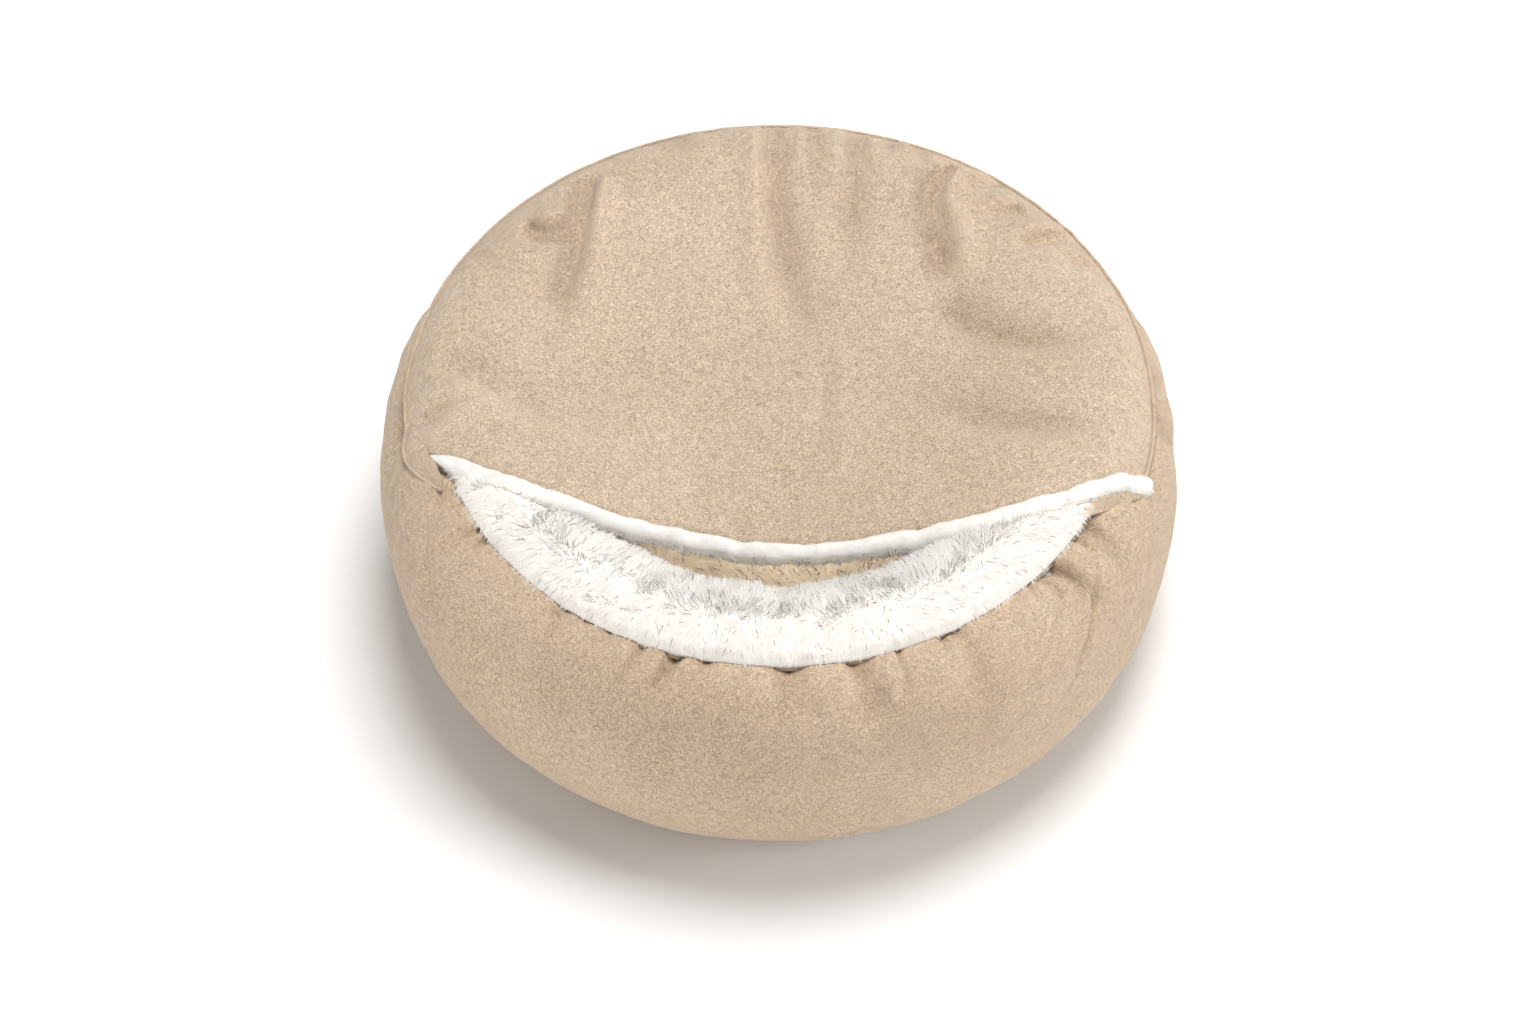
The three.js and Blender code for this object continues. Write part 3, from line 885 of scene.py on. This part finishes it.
# ---- fur ----
def sample_grid(values, u, v):
    """Bilinear samples of a (rows, columns, k) grid that wraps down its rows; u and v are in cells."""
    rows, columns = values.shape[:2]
    i, j = np.floor(u).astype(int), np.clip(np.floor(v).astype(int), 0, columns - 2)
    fu, fv = (u - i)[:, None], (v - j)[:, None]
    i0, i1 = i % rows, (i + 1) % rows
    low = values[i0, j] * (1 - fu) + values[i1, j] * fu
    high = values[i0, j + 1] * (1 - fu) + values[i1, j + 1] * fu
    return low * (1 - fv) + high * fv


def scatter(points, normals, spacing, seed, wrap=True):
    """Roots about one spacing apart on a grid of points, which may wrap down its rows."""
    random = np.random.default_rng(seed)
    rows, columns = points.shape[:2]
    around = np.linalg.norm(np.roll(points, -1, axis=0) - points, axis=2)[:, :-1]
    across = np.linalg.norm(np.diff(points, axis=1), axis=2)
    area = around * across
    if not wrap:
        area[-1] = 0
    share = np.cumsum(area.ravel()) / area.sum()
    count = int(area.sum() / spacing**2)
    at = np.searchsorted(share, (np.arange(count) + random.random(count)) / count)
    at = np.minimum(at, area.size - 1)
    u = at // (columns - 1) + random.random(count)
    v = at % (columns - 1) + random.random(count)
    root, normal = sample_grid(points, u, v), sample_grid(normals, u, v)
    return root, unit(normal)


BLADE_POINTS = 7  # three pairs along the blade and its tip


def make_pile(name, roots, normals, comb, length, width, seed, clump, pull=0.5, spread=0.30, lift=0.45):
    """Fur as tapered blades: each lies over with comb, curls, and is drawn towards the tip of its tuft."""
    random = np.random.default_rng(seed)
    count = len(roots)
    comb = comb - normals * np.sum(comb * normals, axis=1, keepdims=True)
    comb = comb / np.maximum(np.linalg.norm(comb, axis=1, keepdims=True), 0.5)
    direction = unit(lift * normals + comb + spread * random.normal(size=(count, 3)))
    tip = roots + direction * (length * random.uniform(0.65, 1.15, count))[:, None]
    cells = np.floor(roots / clump).astype(int)
    picks = np.unique(cells, axis=0, return_index=True)[1]
    tree = KDTree(len(picks))
    for k, index in enumerate(picks):
        tree.insert(roots[index], k)
    tree.balance()
    owner = np.array([tree.find(root)[1] for root in roots])
    tuft_way = unit(1.3 * lift * normals[picks] + comb[picks] + 0.35 * random.normal(size=(len(picks), 3)))
    tuft_tip = roots[picks] + tuft_way * (length[picks] * random.uniform(0.9, 1.25, len(picks)))[:, None]
    share = pull * random.uniform(0.5, 1.0, (count, 1))
    tip = tip * (1 - share) + tuft_tip[owner] * share
    reach = tip - roots
    stand = np.linalg.norm(reach, axis=1, keepdims=True)
    side = unit(np.cross(reach, normals + 0.5 * random.normal(size=(count, 3))))
    points = np.empty((count, BLADE_POINTS, 3))
    for k, t in enumerate((0.0, 0.38, 0.72)):
        middle = roots + reach * t + normals * (0.55 * stand * t * (1 - t))
        half = side * (width * (1 - 0.55 * t) / 2)
        points[:, 2 * k] = middle - half
        points[:, 2 * k + 1] = middle + half
    points[:, -1] = tip
    start = BLADE_POINTS * np.arange(count)[:, None]
    quads = np.concatenate([start + np.array([[0, 1, 3, 2]]), start + np.array([[2, 3, 5, 4]])])
    pile = new_mesh(name, points.reshape(-1, 3), [quads, start + np.array([[4, 5, 6]])])
    up = np.array([0, 0, 0.24]) * np.sign(normals[:, 2:])
    soft = unit(normals + up + 0.20 * unit(reach) + 0.08 * random.normal(size=(count, 3)))
    pile.data.normals_split_custom_set_from_vertices(np.repeat(soft, BLADE_POINTS, axis=0))
    pile.visible_shadow = False  # light soaks through real fur, so single hairs don't darken each other
    return pile


LINING_CELLS = (620, 120)  # points around the bed and across the fur skin
NEST_HAIR = 0.0085  # length of the fur in the nest


def lining_grid(around, across):
    """The bolster's fur skin with its lumps, from the mouth seam over the crest and down the nest wall."""
    path, normal = section_path(MOUTH_ANGLE, WALL_FOOT_ANGLE, across)
    grid = sweep_round(path, around)
    out = sweep_round(normal, around)
    open_share = smoothstep(-0.006, 0.014, ahead_of_hem(grid[:, :, 0], grid[:, :, 1]))
    high = smoothstep(0.175, 0.190, grid[:, :, 2])
    bare = 1 - (1 - open_share) * high
    lumps = 0.0024 * grid_noise(grid, 0.024, 81, 3)
    lumps += 0.0012 * grid_noise(grid, 0.009, 91, 2)
    step = distance_along(path)
    edge = smoothstep(0, 0.008, step)[None, :]
    puff = 0.0010 + 0.0022 * smoothstep(0.195, 0.215, path[:, 0])[None, :]
    move = bare * (puff * edge + lumps * edge) - 0.0040 * np.exp(-((step / 0.004) ** 2))[None, :]
    move -= (1 - bare) * PRESSED
    return grid + move[:, :, None] * out, out


def make_lining():
    outer, out = lining_grid(*LINING_CELLS)
    inner = outer - 0.006 * out
    skin = closed_band("nest_fur_skin", outer, inner)
    dress(skin, FUR, "bed")
    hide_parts("bolster_fur_lining")


def comb_of(roots, normals):
    """Way the bolster's fur leans: outwards over the seam, inwards down the nest wall."""
    radius = np.hypot(roots[:, 0], roots[:, 1])
    away = np.column_stack([roots[:, 0] / radius, roots[:, 1] / radius, np.zeros(len(roots))])
    outwards = smoothstep(0.195, 0.240, radius) - 0.55 * (1 - smoothstep(0.170, 0.205, radius))
    down = -0.6 * (1 - smoothstep(0.160, 0.175, radius))
    level = np.zeros(len(roots))
    lean = 1.3 * outwards[:, None] * away
    return lean + np.column_stack([level, level, down]) + 0.35 * swirl_noise(roots, 0.035, 101)


def make_bolster_fur():
    grid, _ = lining_grid(*LINING_CELLS)
    normals = grid_normals(grid, wrap_rows=True)
    roots, normal = scatter(grid, normals, 0.00115, 111)
    ahead = ahead_of_hem(roots[:, 0], roots[:, 1])
    radius = np.hypot(roots[:, 0], roots[:, 1])
    seen = (ahead > -0.004) & (roots[:, 2] > 0.125) & (radius < 0.2385)
    length = 0.0085 + 0.0020 * smoothstep(0.195, 0.235, radius)
    length *= 0.55 + 0.45 * smoothstep(-0.004, 0.012, ahead)
    comb = comb_of(roots, normal)
    take = np.flatnonzero(seen)
    halves = [take[roots[take, 0] < 0], take[roots[take, 0] >= 0]]
    for side, chosen in zip(("left", "right"), halves):
        pile = make_pile(
            "mouth_fur_" + side, roots[chosen], normal[chosen], comb[chosen], length[chosen],
            0.00065, 112, 0.008, 0.45, 0.25,
        )
        dress(pile, FUR_STRANDS, "bed")
    roots, normal = scatter(grid, normals, 0.0021, 113)
    ahead = ahead_of_hem(roots[:, 0], roots[:, 1])
    low = roots[:, 2] < np.where(ahead > 0, 0.125, 0.168)
    chosen = np.flatnonzero(low)
    pile = make_pile(
        "nest_wall_fur", roots[chosen], normal[chosen], comb_of(roots[chosen], normal[chosen]),
        np.full(len(chosen), NEST_HAIR), 0.0011, 114, 0.010,
    )
    dress(pile, FUR_STRANDS, "bed")


def make_nest_floor():
    rings, around = 90, 380
    share = np.linspace(0.004, 1, rings)
    radius = NEST_RADIUS * share
    rise = NEST_TOP - 0.003 + 0.004 * smoothstep(0.75, 1.0, share) - 0.010 * smoothstep(0.975, 1.0, share)
    grid = sweep_round(np.column_stack([radius, rise]), around)
    lumps = 0.0020 * grid_noise(grid, 0.028, 121, 3)
    grid[:, :, 2] += lumps * smoothstep(1.0, 0.97, share)[None, :] + 0.001
    normals = -grid_normals(grid, wrap_rows=True)
    lower = grid.copy()
    lower[:, :, 2] = PAD_BOX[0][2]
    count = grid.shape[0] * grid.shape[1]
    i = np.arange(around)
    after = (i + 1) % around
    far, far_after = i * rings + rings - 1, after * rings + rings - 1
    faces = [
        grid_faces(around, rings, wrap_rows=True)[:, ::-1],
        grid_faces(around, rings, wrap_rows=True, start=count),
        np.stack([far, far_after, count + far_after, count + far], axis=1),
        np.stack([after * rings, i * rings, np.full(around, 2 * count)], axis=1),
        np.stack([count + i * rings, count + after * rings, np.full(around, 2 * count + 1)], axis=1),
    ]
    middle = np.array([[0, 0, grid[:, 0, 2].mean()], [0, 0, PAD_BOX[0][2]]])
    floor = new_mesh("nest_floor_pad", np.vstack([grid.reshape(-1, 3), lower.reshape(-1, 3), middle]), faces)
    dress(floor, NEST_FUR, "bed")
    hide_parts("nest_floor_fur")
    roots, normal = scatter(grid, normals, 0.0021, 122)
    swirl = 0.5 * swirl_noise(roots, 0.05, 123)
    pile = make_pile(
        "nest_floor_pile", roots, normal, swirl, np.full(len(roots), NEST_HAIR), 0.0011, 126, 0.010
    )
    dress(pile, NEST_FUR, "bed")


def make_hood_fur(under, up):
    """Pile on the underside of the hood, where the folded flap shows it."""
    roots, normal = scatter(under, -up, 0.0019, 131)
    radius = np.hypot(roots[:, 0], roots[:, 1])
    seen = (roots[:, 1] < -0.035) & (radius < 0.190)
    chosen = np.flatnonzero(seen)
    comb = 0.35 * swirl_noise(roots[chosen], 0.03, 132)
    pile = make_pile(
        "hood_lining_pile", roots[chosen], normal[chosen], comb, np.full(len(chosen), 0.0065),
        0.0010, 135, 0.009,
    )
    dress(pile, FUR_STRANDS, None)
    return pile


def make_hem_fur(points, ring):
    rows, sides = points.shape[:2]
    closed = np.concatenate([points, points[:, :1]], axis=1)
    outward = np.concatenate([ring, ring[:, :1]], axis=1)
    roots, normal = scatter(closed, outward, 0.00100, 141, wrap=False)
    chosen = np.flatnonzero(normal[:, 2] < 0.35)
    swirl = 0.4 * swirl_noise(roots[chosen], 0.02, 142)
    comb = swirl + np.array([0, -0.15, -0.55])
    long = 0.0028 + 0.0018 * smoothstep(0.1, -0.8, normal[chosen, 2])
    pile = make_pile(
        "hood_hem_pile", roots[chosen], normal[chosen], comb, long, 0.00055, 145, 0.006, 0.5, 0.4
    )
    dress(pile, HEM_FUR, None)
    return pile


# ---- pieces under the surface ----
def ring_tube(name, radius, height, thickness, material, replaced):
    angle = np.linspace(0, 2 * np.pi, 14, endpoint=False)
    path = np.column_stack([radius + thickness * np.cos(angle), height + thickness * np.sin(angle)])
    grid = sweep_round(path, 360)
    cord = new_mesh(name, grid.reshape(-1, 3), [grid_faces(360, 14, wrap_rows=True, wrap_columns=True)])
    dress(cord, material, "bed")
    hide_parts(replaced)


def make_filling():
    angle = np.linspace(0, 360, 60, endpoint=False)
    path = section(angle, 0.015)
    path[:, 1] = np.maximum(path[:, 1], 0.006)
    grid = sweep_round(path, 300)
    lumps = 0.0022 * grid_noise(grid, 0.03, 151, 2)
    middle = np.array([RING_RADIUS, BOLSTER_MIDDLE])
    out = unit(path - middle)
    grid = grid + lumps[:, :, None] * sweep_round(out, 300)
    faces = grid_faces(300, 60, wrap_rows=True, wrap_columns=True)
    ring = new_mesh("bolster_stuffing", grid.reshape(-1, 3), [faces])
    dress(ring, FILLING, "bed")
    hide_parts("bolster_filling")


def dress_cad_node(name, material):
    piece = bpy.data.objects[name]
    for slot in piece.material_slots:
        slot.material = material


# ---- light, floor and camera ----
# Lamps: kind, place, aim, size in metres, power in watts and colour.
LAMPS = {
    "overhead": ("AREA", (0.25, 0.48, 2.60), (0, 0, 0.10), 1.5, 67, (1.0, 1.0, 1.0)),
    "low_front": ("AREA", (-0.60, -2.60, 0.45), (0, 0, 0.10), 0.8, 22, (1.0, 1.0, 1.0)),
    "right": ("AREA", (2.40, -0.40, 0.70), (0, 0, 0.10), 1.0, 30, (1.0, 1.0, 1.0)),
    "left": ("AREA", (-2.40, -0.80, 0.45), (0, 0, 0.10), 0.8, 15, (1.0, 1.0, 1.0)),
    "nest": ("POINT", (0.0, 0.02, 0.12), (0, 0, 0), 0.08, 0.45, (1.0, 0.93, 0.82)),
}
WORLD_STRENGTH = 0.20
FLOOR_RADIUS = 9
FLOOR_SIDES = 96


def add_lamp(name, kind, place, aim, size, power, color):
    lamp = bpy.data.lights.new(name, kind)
    lamp.energy = power
    lamp.color = color
    if kind == "POINT":
        lamp.shadow_soft_size = size / 2
    else:
        lamp.shape = "DISK"
        lamp.size = size
    made = bpy.data.objects.new(name, lamp)
    made.location = place
    made.visible_camera = False
    made.rotation_euler = (Vector(aim) - Vector(place)).to_track_quat("-Z", "Y").to_euler()
    bpy.context.scene.collection.objects.link(made)


def make_studio():
    world = bpy.data.worlds.new("studio")
    world.use_nodes = True
    background = world.node_tree.nodes["Background"]
    set_inputs(background, {"Color": (1.0, 1.0, 1.0, 1), "Strength": WORLD_STRENGTH})
    bpy.context.scene.world = world
    for name, values in LAMPS.items():
        add_lamp(name, *values)
    ring = np.linspace(0, 2 * np.pi, FLOOR_SIDES, endpoint=False)
    disc = np.column_stack([FLOOR_RADIUS * np.cos(ring), FLOOR_RADIUS * np.sin(ring), np.zeros(FLOOR_SIDES)])
    floor = new_mesh("floor", disc, [np.arange(FLOOR_SIDES)[None, :]], smooth=False)
    material, tree, shader, place = new_material("floor")
    tone = noise_texture(tree, place, 3.0, 2.0)
    paint = ramp(tree, tone, [(0.0, (0.955, 0.955, 0.953, 1)), (1.0, (0.97, 0.97, 0.968, 1))])
    tree.links.new(paint, shader.inputs["Base Color"])
    set_inputs(shader, {"Roughness": 0.9, "Specular IOR Level": 0.0})
    floor.data.materials.append(material)
    bpy.context.scene.view_settings.view_transform = "Standard"


def make_camera():
    lens = bpy.data.cameras.new("camera")
    lens.lens = CAMERA_LENS
    lens.sensor_width = SENSOR_WIDTH
    camera = bpy.data.objects.new("camera", lens)
    away = Vector((0, -math.cos(CAMERA_ELEVATION), math.sin(CAMERA_ELEVATION)))
    camera.location = CAMERA_AIM + away * CAMERA_DISTANCE
    camera.rotation_euler = (-away).to_track_quat("-Z", "Y").to_euler()
    bpy.context.scene.collection.objects.link(camera)
    bpy.context.scene.camera = camera


make_camera()
make_studio()
make_bolster_cover()
make_lining()
hood_shell, hood_lining, hood_under, hood_up = make_hood()
hem, hem_points, hem_ring = make_hem()
make_hood_ridge()
make_gussets()
make_filling()
ring_tube("base_seam_cord", BASE_RADIUS + 0.0026, 0.0024, 0.0019, SEAM_CORD, "base_seam_piping")
ring_tube("mouth_seam_cord", 0.2405, BOLSTER_TOP - 0.0125, 0.0015, SEAM_CORD, "mouth_seam_tape")
for name, material in CAD_MATERIALS.items():
    dress_cad_node(name, material)
make_bolster_fur()
make_nest_floor()
hood_pile = make_hood_fur(hood_under, hood_up)
hem_pile = make_hem_fur(hem_points, hem_ring)
for piece in (hood_shell, hood_lining, hem, hood_pile, hem_pile):
    bend_with_flap(piece)
